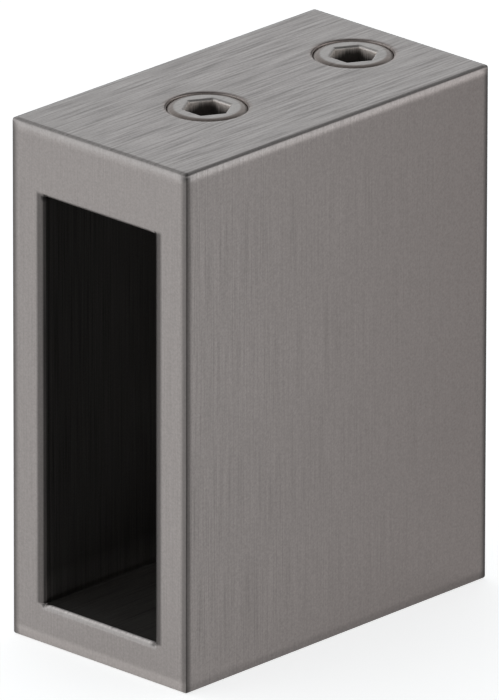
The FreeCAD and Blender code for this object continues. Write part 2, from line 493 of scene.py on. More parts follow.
def raw_metal_light_and_shade(tree, level, depth):
    """Socket colour: painted shade on walls, painted light on floor, lighter further in and at the walls'
    foot.
    """
    wall_tone, floor_tone = (
        ease("tone further in", depth, 0.0, RAW_DEPTH, *tones)
        for tones in (WALL_LIGHT_BY_DEPTH, FLOOR_LIGHT_BY_DEPTH)
    )
    foot = (socket_low.z, socket_low.z + WALL_FOOT_HEIGHT)
    wall_foot_tone = remap("lighter near the floor", place_along(tree, "Z"), *foot, WALL_FOOT_LIGHT, 1.0)
    wall_tone = product("tone of the walls", wall_tone, wall_foot_tone)
    tone = mix("FLOAT", "tone by facing", level, wall_tone, floor_tone)
    return toned(mix("RGBA", "walls or floor", level, SOCKET_WALLS_SHADED, SOCKET_FLOOR_LIT), tone)


def inside_socket(tree, level):
    """Mask of the socket's inside, from just behind its front rim, and its colour with painted shade and
    light.
    """
    x, depth, z = place_in_socket(tree)
    across, upward = (
        ease("between the walls", away, half + fade, half + EDGE_MARGIN)
        for away, half, fade in ((x, socket_half.x, RIM_ROUND), (z, socket_half.z, FLOOR_FADE))
    )
    lip = product("lip of floor and roof", level, RIM_ROUND)
    past_lip = calculate("SUBTRACT", "past the lip", depth, lip)
    deep = ease("behind the rim", past_lip, *RAW_START)
    return product("in the socket", across, upward, deep), raw_metal_light_and_shade(tree, level, depth)


show_mm("raw metal evens out over", RAW_DEPTH)

# %% Lips of the socket
LIP_FADE = 0.1 * MM
LIP_FRONT = RIM_ROUND / 3


def side_lips(tree, edges):
    """Mask of the two upright lips of the socket down to its floor, out of the masked edges."""
    x, _, _ = place_in_socket(tree)
    outside = ease("outside the socket", x, socket_half.x - LIP_FADE, socket_half.x)
    lip_ends = (socket_low.z - LIP_FADE, socket_low.z + LIP_FADE)
    above = ease("above the lower lip", place_along(tree, "Z"), *lip_ends)
    return product("side lips", edges, outside, above)


def lower_lip(tree):
    x, depth, _ = place_in_socket(tree)
    height, floor = place_along(tree, "Z"), socket_low.z
    across = ease("to the corners", x, socket_half.x + RIM_ROUND, socket_half.x)
    below = calculate("LESS_THAN", "below the floor", height, floor + EDGE_MARGIN)
    front = ease("at the front", depth, RIM_ROUND, LIP_FRONT)
    top = ease("top of the lip", height, floor - RIM_ROUND, floor - EDGE_MARGIN)
    return product("lower lip", across, below, front, top)


show_mm("lips fade over", LIP_FADE)

# %% Mouths of the screw holes
SCREW_NODES = ("rail_clamp_screw", "anchor_clamp_screw")
MOUTH_RADIUS = 2.95 * MM
MOUTH_BAND = 0.35 * MM
MOUTH_LEAN = 0.35
MOUTH_DEPTH = 0.5 * MM


def hole_mouths(tree):
    """Mask of the brown painted shade round the mouths of the screw holes, and a lean toward the holes for
    their normals.
    """
    x, y, z = split(place_of(tree))
    front, rear = (sum(corner.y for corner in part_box(node)) / 2 for node in SCREW_NODES)
    at_rear = calculate("GREATER_THAN", "nearer to the rear screw", y, (front + rear) / 2)
    screw = mix("FLOAT", "place of the screw", at_rear, front, rear)
    along = calculate("SUBTRACT", "along the rail", y, screw)
    offset = join("from the screw's axis", x, along, 0.0)
    away = fed_node("ShaderNodeVectorMath", "how far", offset, operation="LENGTH").outputs["Value"]
    darkened = remap("by a hole", away, MOUTH_RADIUS, MOUTH_RADIUS + MOUTH_BAND, 1.0, 0.0)
    top = calculate("GREATER_THAN", "at the top", z, block_high.z - MOUTH_DEPTH)
    mouth = product("mouths", darkened, top)
    slope = product("slope", mouth, -MOUTH_LEAN)
    outwards = vector("NORMALIZE", "outwards", offset)
    return mouth, vector("MULTIPLY", "toward the hole", outwards, slope)


# The painted shade round each mouth reaches this radius
show_mm("mouths worn to a radius of", MOUTH_RADIUS + MOUTH_BAND)

# %% [markdown]
# The finish of the block
#
# The block is a warm grey metal with a satin brushing. A plain metal shader would look like a toy: what
# makes it real is that the same lines change the colour, the roughness and the surface a little. The long
# sides are darker than the front with painted shade, most of all toward the wall, where they are also warmer
# and their lines fade. Pairs that go to by_side are for the front and the sides, or for a side's front and
# wall ends.

# %% Colour and lines of the block
WARM_GREY = (0.306, 0.281, 0.271, 1)
SIDE_GREY = (0.303, 0.268, 0.256, 1)
SIDE_WARMTH = (0.15, 1.0)
SIDE_FACING = (0.6, 0.8)
# Painted shade: a brown darkening round the mouths of the screw holes
MOUTH_SHADE_BROWN = (0.9, 0.84, 0.81, 1)
LINE_TONE = 0.54
RAW_LINES = (2.4, 1.3)
GRAIN_TONES = (0.33, 0.44)


def by_side(tree, label, elsewhere, near_front, near_wall=None):
    """A factor for the long sides, which may change toward the wall, and another one elsewhere."""
    side = ease("long side", facing(tree, "X"), *SIDE_FACING)
    if near_wall is not None:
        span = (block_low.y, block_high.y, near_front, near_wall)
        near_front = remap(f"{label} along the side", place_along(tree, "Y"), *span)
    return mix("FLOAT", label, side, elsewhere, near_front)


def block_metal(tree, inside, raw_and_shaded, mouth):
    """Warm grey, warmer on the sides toward the wall; painted shade and light in the socket, brown painted
    shade round the screws.
    """
    warmer = by_side(tree, "warmer sides", 0.0, *SIDE_WARMTH)
    brushed = mix("RGBA", "front or side", warmer, WARM_GREY, SIDE_GREY)
    metal = mix("RGBA", "brushed or raw", inside, brushed, raw_and_shaded)
    return tinted("brown mouths", mouth, metal, MOUTH_SHADE_BROWN)


def brushing_tones(tree, brushing, lines, inside):
    """Factors for the lines, which show as streaks in the socket, and for the grain."""
    raw_lines = (LINE_TONE * share for share in RAW_LINES)
    streaks = mix("FLOAT", "streaks by facing", brushing["Level Face"], *raw_lines)
    line_tone = mix("FLOAT", "streaks in the socket", inside, LINE_TONE, streaks)
    return [
        tone_by("lines in the tone", lines, line_tone),
        tone_by("grain in the tone", brushing["Grain"], by_side(tree, "share of grain", *GRAIN_TONES)),
    ]


print("block colours:", WARM_GREY[:3], "to", SIDE_GREY[:3])

# %% Painted light and shade on the edges of the block
EDGE_BAND = {"Core": 0.2 * MM, "Reach": 0.65 * MM}
# Painted shade on the upright edges, for the front and for the sides
UPRIGHT_EDGE_SHADE = (0.55, 0.42)
# Painted highlight along the top edges, over these bands
TOP_HIGHLIGHT_BANDS = {"Core": (0.62 * MM, 0.38 * MM), "Reach": (1.02 * MM, 0.82 * MM)}
TOP_EDGE_HIGHLIGHT = 1.1
# Painted highlight along the front's bottom edge and painted shade along the sides' bottom edges
BOTTOM_EDGE_LIGHT_AND_SHADE = (1.3, 0.84)
RIM_BAND = {"Core": 0.48 * MM, "Reach": 0.8 * MM}
# Painted shade on the upright lips of the socket's mouth
RIM_SHADE = 0.38
# Painted highlight on the lower lip of the socket's mouth
LIP_HIGHLIGHT = 1.9
# Painted shade on the rounds where the sides meet the front, and fainter where they meet the top or bottom
CREASE_FACING = (0.5, 0.75)
CREASE_SHADE = 0.5
CREASE_TOP = (0.35 * MM, 0.1 * MM)
LONG_CREASE_FACING = (0.25, 0.45)
LONG_CREASE_SHADE = 0.72
OTHER_FACING = (0.25, 0.5)
# Painted shade: the long sides darker than the front, most of all toward the wall
SIDE_SHADE = (0.78, 0.61)
# Painted light: the sides lighter low down
LOW_DOWN_LIGHT = 1.08
LOW_HEIGHT = 12 * MM


def crease(tree, axis, sideways):
    """Mask of the rounds where the normal points sideways and along another axis too."""
    side = ease("sideways", facing(tree, "X"), *sideways)
    other = ease("and the other way", facing(tree, axis), *OTHER_FACING)
    return product("crease", side, other)


def painted_edge_light(tree, level):
    """Painted light and shade: factors for the faces and edges of the block and for the rim of its socket."""
    top_highlight_band = {name: by_side(tree, "bright edge", *widths) for name, widths in TOP_HIGHLIGHT_BANDS.items()}
    outer = use_group(tree, box_edges, "upright edges", **BLOCK_BOX, **EDGE_BAND)
    upper = use_group(tree, box_edges, "top edges", **BLOCK_BOX, **top_highlight_band)
    rim = use_group(tree, box_edges, "rim of the socket", **SOCKET_BOX, **RIM_BAND)
    sides = calculate("SUBTRACT", "upright face", 1.0, level)
    top_highlight = product("run off at the top", upper["Top Edge"], sides)
    bottom_edge_light = product("run on at the bottom", upper["Bottom Edge"], sides)
    height = place_along(tree, "Z")
    crease_ends = (block_high.z - below for below in CREASE_TOP)
    under_top = ease("under the top", height, *crease_ends, 1.0, 0.0)
    upright = product("upright edges", outer["Upright Edge"], under_top)
    line = product("creases", crease(tree, "Y", CREASE_FACING), under_top)
    long_line = crease(tree, "Z", LONG_CREASE_FACING)
    side_light_low = remap("low down", height, block_low.z + LOW_HEIGHT, block_low.z, 1.0, LOW_DOWN_LIGHT)
    side_shade_tone = by_side(tree, "tone of the faces", 1.0, *SIDE_SHADE)
    # Each factor below is painted light or painted shade
    return [
        by_side(tree, "lighter low down", 1.0, side_light_low),
        tone_where("dark upright edges", upright, by_side(tree, "tone of the edges", *UPRIGHT_EDGE_SHADE)),
        tone_where("darker crease", line, CREASE_SHADE),
        tone_where("dark long edges", long_line, LONG_CREASE_SHADE),
        tone_where("lower edges", bottom_edge_light, by_side(tree, "tone of the lower edges", *BOTTOM_EDGE_LIGHT_AND_SHADE)),
        tone_where("bright lip", lower_lip(tree), LIP_HIGHLIGHT),
        tone_where("dark rim", side_lips(tree, rim["Upright Edge"]), RIM_SHADE),
        mix("FLOAT", "bright top edges", top_highlight, side_shade_tone, TOP_EDGE_HIGHLIGHT),
    ]


print("edge tones, front and sides:", UPRIGHT_EDGE_SHADE)

# %% The brushed block
ANISOTROPY = 0.45
SIDE_LINES = (2.5, 0.3)
SATIN_LINES = (-0.2, 0.2)
SATIN = (0.42, 0.3)
RAW_ROUGHNESS = 0.6
LINE_BUMP = 0.3
SOFT_SIDE = (0.93 * MM, 0.5)
SOFT_TOP = (0.42 * MM, 1.0)
SOFT_RIM = 0.5 * MM
ROOF_RIM_SHARE = 0.35


def edge_leans(tree, level):
    """Leans of the normal by the edges of the block and by the rim of its socket, crisper at its roof."""
    reach, strength = (mix("FLOAT", "by facing", level, *pair) for pair in zip(SOFT_SIDE, SOFT_TOP))
    block = use_group(tree, soft_edges, "soft block", **BLOCK_BOX, Reach=reach, Strength=strength)
    roof = (socket_high.z, socket_high.z + RIM_ROUND, 1.0, ROOF_RIM_SHARE)
    rim_share = remap("crisper above the mouth", place_along(tree, "Z"), *roof)
    rim = use_group(tree, soft_edges, "soft rim", **SOCKET_BOX, Reach=SOFT_RIM, Strength=rim_share)
    return block["Lean"], rim["Lean"]


def make_brushed_body():
    material, tree, shader = new_metal("brushed_body", ANISOTROPY)
    brushing = use_group(tree, brushed_lines, "brushing")
    level = brushing["Level Face"]
    inside, raw_and_shaded = inside_socket(tree, level)
    mouth, mouth_lean = hole_mouths(tree)
    lines = product("lines", brushing["Lines"], by_side(tree, "line share", 1.0, *SIDE_LINES))
    tones = brushing_tones(tree, brushing, lines, inside) + painted_edge_light(tree, level)
    feed(shader["Base Color"], toned(block_metal(tree, inside, raw_and_shaded, mouth), *tones))
    satin = remap("line roughness", lines, *SATIN_LINES, *SATIN)
    feed(shader["Roughness"], mix("FLOAT", "rough inside", inside, satin, RAW_ROUGHNESS))
    normal = leaning_normal(tree, *edge_leans(tree, level), mouth_lean)
    feed(shader["Normal"], scratch_bump(lines, LINE_BUMP, normal))
    feed(shader["Tangent"], across_lines(tree))
    return material


brushed_body = make_brushed_body()
nodes["bracket_body"].data.materials[0] = brushed_body
print("finish:", brushed_body.name, "on", nodes["bracket_body"].name)

# %% [markdown]
# The finish of the anchor
#
# The anchor is a plain milled block that nobody sees once the rail is in. A face mill leaves shallow arcs,
# one for each step of its feed. They could be cut as geometry, but they are only microns deep, so rings of a
# wave texture, centred far to one side, are enough as bump and tone. Its chamfers are a shade brighter.

# %% The milled anchor
MILLED_GREY = (0.5, 0.5, 0.49, 1)
MILL_STEP = 0.5 * MM
MILL_CENTRE = Vector((0, 0, 40 * MM))
MILL_WANDER = 0.6
MILL_TONES = (0.86, 1.05)
MILL_ROUGHNESS = (0.46, 0.34)
MILL_BUMP = 0.3
SCRATCHES = {"Line_Width": 0.2 * MM, "Line_Length": 6 * MM}
SCRATCH_TONE = 0.5
CHAMFER_BAND = {"Core": 0.35 * MM, "Reach": 0.6 * MM}
CHAMFER_TONE = 1.2
WAVE_RATE = 20  # Radians of a wave texture in each unit of length, at a scale of 1


def cutter_arcs(tree):
    """Rings round an axis along Y that rise from 0 to 1 and fall again in each step of the cutter."""
    spot = fed_node("ShaderNodeMapping", "centre of the cutter", place_of(tree))
    feed(spot.inputs["Location"], MILL_CENTRE)
    arcs = fed_node("ShaderNodeTexWave", "arcs of the cutter", spot.outputs[0])
    arcs.wave_type = "RINGS"
    arcs.rings_direction = "Y"
    feed_all(arcs.inputs, Scale=2 * math.pi / WAVE_RATE / MILL_STEP, Distortion=MILL_WANDER)
    return arcs.outputs["Fac"]


def make_anchor_metal():
    material, tree, shader = new_metal("anchor_metal")
    anchor = as_box(*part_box("wall_anchor"))
    brushing = use_group(tree, brushed_lines, "scratches", **SCRATCHES)
    edges = use_group(tree, box_edges, "chamfers", **anchor, **CHAMFER_BAND)
    depth = cutter_arcs(tree)
    colour = toned(
        MILLED_GREY,
        remap("arcs in the tone", depth, 0.0, 1.0, *MILL_TONES),
        tone_by("scratches in the tone", brushing["Lines"], SCRATCH_TONE),
        tone_where("bright chamfers", edges["Upright Edge"], CHAMFER_TONE),
    )
    feed(shader["Base Color"], colour)
    feed(shader["Roughness"], remap("arc roughness", depth, 0.0, 1.0, *MILL_ROUGHNESS))
    feed(shader["Normal"], scratch_bump(depth, MILL_BUMP))
    return material


anchor_metal = make_anchor_metal()
nodes["wall_anchor"].data.materials[0] = anchor_metal
print("finish:", anchor_metal.name, "on", nodes["wall_anchor"].name)

# %% [markdown]
# The finish of the screws
#
# The screws are turned from bar and brushed over with the block, and their rims get a brown painted shade. The
# hexagon is pressed in: its walls get painted light near the mouth and black painted shade further down,
# higher up on one side. Object coordinates can't tell how far a point is from its own screw's axis, so the
# blank made
# below carries attributes: distance from the axis, depth, share of the hexagon and shaded side.

# %% Sizes of a screw
screw_low, screw_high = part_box("rail_clamp_screw")
SCREW_RADIUS = (screw_high.x - screw_low.x) / 2
SCREW_LENGTH = screw_high.z - screw_low.z
RIM_WIDTH = 0.6 * MM
RIM_DROP = 0.3 * MM
HEX_WIDTH = 3.0 * MM
HEX_ROUND = 0.22 * MM
DRILL_CONE = 0.45 * MM
CUP_RADIUS = 1.5 * MM
CUP_DEPTH = 0.75 * MM
TIP_RADIUS = 1.65 * MM
SCREW_WEB = 1.4 * MM
HEX_DEPTH = SCREW_LENGTH - CUP_DEPTH - SCREW_WEB - DRILL_CONE
show_mm("screw's width and length", 2 * SCREW_RADIUS, SCREW_LENGTH)

# %% Turned steel
SCREW_GREY = (0.315, 0.292, 0.28, 1)
SCREW_ROUGHNESS = 0.34
RIM_START = SCREW_RADIUS - 0.62 * MM
RIM_END = SCREW_RADIUS - 0.42 * MM
# Painted shade: a brown darkening of the screw's rounded rim, down to a small depth
RIM_SHADE_BROWN = (0.6, 0.545, 0.515, 1)
RIM_SHADE_END = (0.08 * MM, 0.2 * MM)
RING_STEP = 0.05 * MM
RING_DETAIL = 1.0
RING_BUMP = 0.15
SCREW_TONES = {"ring": 0.25, "line": 0.5, "grain": 0.35}


def attribute(tree, name):
    return new_node(tree, "ShaderNodeAttribute", name, attribute_name=name).outputs["Fac"]


show_mm("brown rim from a radius of", RIM_START)

# %% Pressed hexagon, with painted light and shade
# Painted light on the hexagon's walls near the mouth, and painted shade further down, higher on one side
HEX_LIT_GREY = (0.85, 0.775, 0.725, 1)
HEX_SHADE = (0.12, 0.108, 0.1, 1)
HEX_ROUGHNESS = 0.6
HEX_SHADE_DEPTHS = (0.3 * MM, 1.0 * MM)
HEX_SHADE_WAVES = 1.5 * MM
SHADED_SIDE_ANGLE = math.radians(138)
SHADED_SIDE_EDGES = (0.8, 1.0)
SHADED_SIDE_RISE = 0.4 * MM


def hexagon_wall(tree, lines, depth):
    """Colour of the hexagon's walls: painted light near the mouth, black painted shade lower down, higher
    along the lines and on the shaded side.
    """
    shade_edge = calculate("MULTIPLY_ADD", "uneven", lines, HEX_SHADE_WAVES, depth)
    side_shade = ease("side_shade", attribute(tree, "stained_side"), *SHADED_SIDE_EDGES, 0.0, SHADED_SIDE_RISE)
    shade_depth = calculate("ADD", "higher at the stain", shade_edge, side_shade)
    down_shade = ease("down the hexagon", shade_depth, *HEX_SHADE_DEPTHS)
    return mix("RGBA", "clean to black", down_shade, HEX_LIT_GREY, HEX_SHADE)


def make_screw_steel():
    material, tree, shader = new_metal("screw_steel")
    brushing = use_group(tree, brushed_lines, "brushing")
    depth, from_axis = attribute(tree, "depth"), attribute(tree, "from_axis")
    below_top = ease("below the top", depth, 0.0, HEX_ROUND)
    hexagon = product("hexagon's walls", attribute(tree, "hexagon_share"), below_top)
    wall = hexagon_wall(tree, brushing["Lines"], depth)
    metal = mix("RGBA", "turned or pressed", hexagon, SCREW_GREY, wall)
    near_rim = ease("near the rim", from_axis, RIM_START, RIM_END)
    rim = product("rim", near_rim, ease("clean below the rim", depth, *RIM_SHADE_END, 1.0, 0.0))
    rimmed = tinted("brown rim", rim, metal, RIM_SHADE_BROWN)
    ring_spot = calculate("DIVIDE", "in ring steps", from_axis, RING_STEP)
    rings = line_noise(join("across the rings", ring_spot, 0.0, 0.0), RING_DETAIL)
    patterns = {"ring": rings, "line": brushing["Lines"], "grain": brushing["Grain"]}
    tones = [tone_by(f"{name} tone", patterns[name], share) for name, share in SCREW_TONES.items()]
    feed(shader["Base Color"], toned(rimmed, *tones))
    feed(shader["Roughness"], mix("FLOAT", "rough hexagon", hexagon, SCREW_ROUGHNESS, HEX_ROUGHNESS))
    feed(shader["Normal"], scratch_bump(rings, RING_BUMP))
    return material


screw_steel = make_screw_steel()
print("finish:", screw_steel.name)

# %% [markdown]
# A turned blank
#
# A grub screw starts as a turned blank: a rod with a rounded top, a bored hole, and a cone with a cup at the
# tip. The Screw modifier could spin a profile, but it can't say which rows of points will be threaded. Here
# a short list of radii and depths lays out the rows, and each carries its share of thread and hexagon.

# %% Rows of the blank
THREAD_PITCH = 1.0 * MM
ROWS_PER_TURN = 24
PLAIN_COLLAR = 0.5 * MM
THREAD_FADE = 0.5 * MM
EDGE_ROW = 0.03 * MM
WALL_STEPS = 12
CURVE_STEPS = 6


def steps(count):
    return [step / count for step in range(count + 1)]


def thread_rows(first_depth, last_depth):
    """Depths of the rows between two depths, a fixed number of them to each turn of the thread."""
    gap = THREAD_PITCH / ROWS_PER_TURN
    return [gap * row for row in range(math.ceil(first_depth / gap), math.floor(last_depth / gap) + 1)]


def screw_rows():
    """Rows from the bored hole, over the top and down to the cup: radius, depth, thread, hexagon."""
    half = HEX_WIDTH / 2
    quarter = [math.pi / 2 * step for step in steps(CURVE_STEPS)]
    rows = [(half - EDGE_ROW, HEX_DEPTH, 0, 0), (half, HEX_DEPTH, 0, 1)]
    rows += [(half, HEX_DEPTH + (HEX_ROUND - HEX_DEPTH) * step, 0, 1) for step in steps(WALL_STEPS)[1:-1]]
    for t in quarter:
        rows.append((half + HEX_ROUND * (1 - math.cos(t)), HEX_ROUND * (1 - math.sin(t)), 0, 1))
    rows += [(half + HEX_ROUND + EDGE_ROW, 0, 0, 1), (SCREW_RADIUS - RIM_WIDTH - EDGE_ROW, 0, 0, 0)]
    for t in quarter:
        rows.append((SCREW_RADIUS - RIM_WIDTH * (1 - math.sin(t)), RIM_DROP * (1 - math.cos(t)), 0, 0))
    cone_start = SCREW_LENGTH - (SCREW_RADIUS - TIP_RADIUS)
    for depth in thread_rows(RIM_DROP + EDGE_ROW, SCREW_LENGTH - EDGE_ROW):
        radius = SCREW_RADIUS - max(0, depth - cone_start)
        rows.append((radius, depth, min(1, max(0, (depth - PLAIN_COLLAR) / THREAD_FADE)), 0))
    rows += [(TIP_RADIUS, SCREW_LENGTH, 0, 0), (CUP_RADIUS, SCREW_LENGTH, 0, 0)]
    return rows


print("screw rows:", len(screw_rows()))

# %% From rows to a mesh
ROUND_STEPS = 96
POINT_VALUES = ("from_axis", "depth", "thread_share", "hexagon_share", "stained_side")


def turned_mesh(name, rows, poles=None):
    """A closed mesh turned round Z. It ends in two poles, given by their depths, or joins up to a ring."""
    corners, values, faces = [], [], []
    for radius, depth, thread, hexagon in rows:
        for step in range(ROUND_STEPS):
            angle = 2 * math.pi * step / ROUND_STEPS
            corners.append((radius * math.cos(angle), radius * math.sin(angle), -depth))
            values.append((radius, depth, thread, hexagon, math.cos(angle - SHADED_SIDE_ANGLE)))
    for row in range(len(rows) - 1 if poles else len(rows)):
        first, second = row * ROUND_STEPS, (row + 1) % len(rows) * ROUND_STEPS
        for step in range(ROUND_STEPS):
            after = (step + 1) % ROUND_STEPS
            faces.append((first + step, second + step, second + after, first + after))
    if poles:
        last = (len(rows) - 1) * ROUND_STEPS
        for depth in poles:
            corners.append((0, 0, -depth))
            values.append((0, depth, 0, 0, 0))
        for step in range(ROUND_STEPS):
            after = (step + 1) % ROUND_STEPS
            faces.append((len(corners) - 2, step, after))
            faces.append((len(corners) - 1, last + after, last + step))
    mesh = bpy.data.meshes.new(name)
    mesh.from_pydata(corners, [], faces)
    for index, label in enumerate(POINT_VALUES):
        layer = mesh.attributes.new(label, "FLOAT", "POINT")
        layer.data.foreach_set("value", [point[index] for point in values])
    return mesh


screw_blank = turned_mesh("screw_blank", screw_rows(), (HEX_DEPTH + DRILL_CONE, SCREW_LENGTH - CUP_DEPTH))
print("screw blank:", len(screw_blank.vertices), "points,", len(screw_blank.polygons), "faces")

# %% [markdown]
# A sleeve for the thread in a hole
#
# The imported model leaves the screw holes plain, at the outside of the thread. On the real block they are
# tapped, which shows when a screw is taken up. A thin closed sleeve against the hole's wall, turned like the
# blank, can take the same thread rule. Near the top it is a plain collar that closes the gap round the
# screw; the thread begins lower down.

# %% Rows of the sleeve
SCREW_GAP = 0.05 * MM
COLLAR_GAP = 0.01 * MM
COLLAR_TOP = 0.12 * MM
COLLAR_END = 1.0 * MM
SLEEVE_WALL = 0.02 * MM
SLEEVE_TOP = 2.05 * MM
SLEEVE_END = SCREW_LENGTH - 0.1 * MM
SLEEVE_FADE = 0.3 * MM
SLEEVE_RADIUS = SCREW_RADIUS + SCREW_GAP


def sleeve_rows():
    """Rows of the sleeve, up its inner wall, over the collar and down its plain outer one."""
    rows = [(SCREW_RADIUS + COLLAR_GAP, depth, 0, 0) for depth in (COLLAR_TOP, COLLAR_END)]
    rows.append((SLEEVE_RADIUS, COLLAR_END, 0, 0))
    for depth in thread_rows(SLEEVE_TOP, SLEEVE_END):
        from_end = min(depth - SLEEVE_TOP, SLEEVE_END - depth)
        rows.append((SLEEVE_RADIUS, depth, min(1, max(0, from_end / SLEEVE_FADE)), 0))
    outer = SLEEVE_RADIUS + SLEEVE_WALL
    return rows[::-1] + [(outer, rows[0][1], 0, 0), (outer, rows[-1][1], 0, 0)]


sleeve_blank = turned_mesh("sleeve_blank", sleeve_rows())
print("sleeve blank:", len(sleeve_blank.vertices), "points,", len(sleeve_blank.polygons), "faces")

# %% [markdown]
# Thread and hexagon by a rule
#
# A thread is a helix: how deep it is cut at a point depends only on the point's height and its angle round
# the axis. A swept profile leaves ends to tidy up, so Geometry Nodes move the blank's own points instead,
# and the thread runs out by itself where the tip tapers. The hexagon is a rule too: a round hole's points go
# outwards until they reach the nearest flat. On the sleeve, the thread rule moves the wall into the screw's
# groove.

# %% Moving points
CREST_FLAT = 1 / 8
ROOT_FLAT = 1 / 4
FLANK = (1 - CREST_FLAT - ROOT_FLAT) / 2
THREAD_DEPTH = FLANK * math.sqrt(3) * THREAD_PITCH
FLAT_ANGLE = math.pi / 3


def named(tree, name):
    node = new_node(tree, "GeometryNodeInputNamedAttribute", name, name, data_type="FLOAT")
    return node.outputs["Attribute"]


def move_points(label, geometry, share, position, factor):
    """Moves the points that have a share of this feature nearer to the axis or away from it."""
    chosen = calculate("GREATER_THAN", f"where {label}", share, 0.0)
    sideways = join("only sideways", factor, factor, 1.0)
    moved = vector("MULTIPLY", label, position, sideways)
    return fed_node("GeometryNodeSetPosition", label, geometry, chosen, moved).outputs[0]


def from_crest(height, angle, pitch):
    """How far a point is from the crest of the helix, from 0 on the crest to 0.5 in the groove."""
    climbed = calculate("DIVIDE", "height in turns", height, pitch)
    turned = calculate("DIVIDE", "angle in turns", angle, 2 * math.pi)
    along = calculate("SUBTRACT", "along the helix", climbed, turned)
    return calculate("PINGPONG", "from the crest", along, 0.5)


def out_to_flat(angle):
    """Factor that takes a round hole's points out to the flats of a hexagon round it."""
    within = calculate("FLOORED_MODULO", "angle in one flat", angle, FLAT_ANGLE)
    off_middle = calculate("SUBTRACT", "from its middle", within, FLAT_ANGLE / 2)
    return calculate("DIVIDE", "out to the flat", 1.0, calculate("COSINE", "lean", off_middle))


show_mm("thread depth", THREAD_DEPTH)


# %% The thread and hexagon tree
def make_thread_tree():
    inputs = [
        ("Blank", "Geometry", None),
        ("Place", "Vector", None),
        ("Pitch", "Float", THREAD_PITCH),
        ("Thread Depth", "Float", THREAD_DEPTH),
        ("Crest Radius", "Float", SCREW_RADIUS),
        ("Finish", "Material", None),
    ]
    outputs = [("Piece", "Geometry")]
    tree, given, result = new_tree("thread_and_hexagon", "GeometryNodeTree", inputs, outputs)
    position = new_node(tree, "GeometryNodeInputPosition", "point of the blank").outputs[0]
    x, y, z = split(position)
    angle = calculate("ARCTAN2", "round the axis", y, x)
    radius = named(tree, "from_axis")
    thread, hexagon = named(tree, "thread_share"), named(tree, "hexagon_share")

    off_crest = from_crest(z, angle, given["Pitch"])
    flank = remap("down the flank", off_crest, CREST_FLAT / 2, CREST_FLAT / 2 + FLANK)
    cut = product("depth of cut", flank, given["Thread Depth"], thread)
    groove = calculate("SUBTRACT", "radius in the groove", given["Crest Radius"], cut)
    nearer = calculate("MINIMUM", "cut only inwards", radius, groove)
    kept = calculate("DIVIDE", "share of the radius", nearer, radius)
    threaded = move_points("threaded", given["Blank"], thread, position, kept)
    pressed = move_points("pressed", threaded, hexagon, position, out_to_flat(angle))

    placed = new_node(tree, "GeometryNodeTransform", "to its place")
    feed_all(placed.inputs, Geometry=pressed, Translation=given["Place"])
    whole = fed_node("GeometryNodeRealizeInstances", "real points", placed.outputs[0])
    finished = fed_node("GeometryNodeSetMaterial", "finish", whole.outputs[0], None, given["Finish"])
    feed(result["Piece"], finished.outputs[0])
    return tree


thread_tree = make_thread_tree()
show_tree(thread_tree)

# %% [markdown]
# Screws and threaded holes
#
# Each screw is one blank run through the tree at its own place, and so is the sleeve in its hole. Blank and
# sleeve count their depths from the screw's top, so crest meets groove. The result becomes a plain mesh,
# because other programs don't know Geometry Nodes.

# %% Run the tree
SHARP_ANGLE = math.radians(40)


def new_object(name, data):
    item = bpy.data.objects.new(name, data)
    bpy.context.scene.collection.objects.link(item)
    return item


def run_thread_tree(name, blank, **values):
    """The tree's result on a blank, as a plain mesh object. Inputs are set by identifier before it runs."""
    piece = new_object(name, blank)
    modifier = piece.modifiers.new("thread_and_hexagon", "NODES")
    modifier.node_group = thread_tree
    for item in thread_tree.interface.items_tree:
        key = item.name.replace(" ", "_")
        if item.in_out == "INPUT" and key in values:
            modifier[item.identifier] = values[key]
    graph = bpy.context.evaluated_depsgraph_get()
    evaluated = piece.evaluated_get(graph)
    mesh = bpy.data.meshes.new_from_object(evaluated, preserve_all_data_layers=True, depsgraph=graph)
    piece.modifiers.remove(modifier)
    piece.data = mesh
    mesh.name = name
    mesh.shade_smooth()
    mesh.set_sharp_from_angle(angle=SHARP_ANGLE)
    return piece


print("tree's sockets:", ", ".join(item.name for item in thread_tree.interface.items_tree))

# %% The two screws and their holes
for screw, hole, node, body in (
    ("rail_screw_threaded", "rail_hole_thread", "rail_clamp_screw", "rail_screw"),
    ("anchor_screw_threaded", "anchor_hole_thread", "anchor_clamp_screw", "anchor_screw"),
):
    low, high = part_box(node)
    place = Vector(((low.x + high.x) / 2, (low.y + high.y) / 2, high.z))
    piece = run_thread_tree(screw, screw_blank, Place=place, Finish=screw_steel)
    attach(piece, body)
    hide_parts(node)
    values = {"Place": place, "Crest_Radius": SLEEVE_RADIUS, "Finish": brushed_body}
    sleeve = run_thread_tree(hole, sleeve_blank, **values)
    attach(sleeve, "bracket")
    for item in (piece, sleeve):
        show_mm(f"{item.name} with {len(item.data.polygons)} faces at y", place.y)

# %% [markdown]
# Floor
#
# The bracket stands on a plain pale floor. Lamps strong enough to make it white would be too strong for the
# metal. Instead the floor shows a glow of its own to the camera and in reflections only, which Light Path
# tells apart from the light that it throws on other things. Added to its lit colour it comes out white, and
# the bracket's soft shadow stays. From below the floor is clear, so that the underside can be looked at.

# %% Floor
FLOOR_HALF = 3.0
FLOOR_GAP = 0.02 * MM
FLOOR_GREY = 0.75
FLOOR_ROUGHNESS = 0.9
FLOOR_GLOW = 0.69


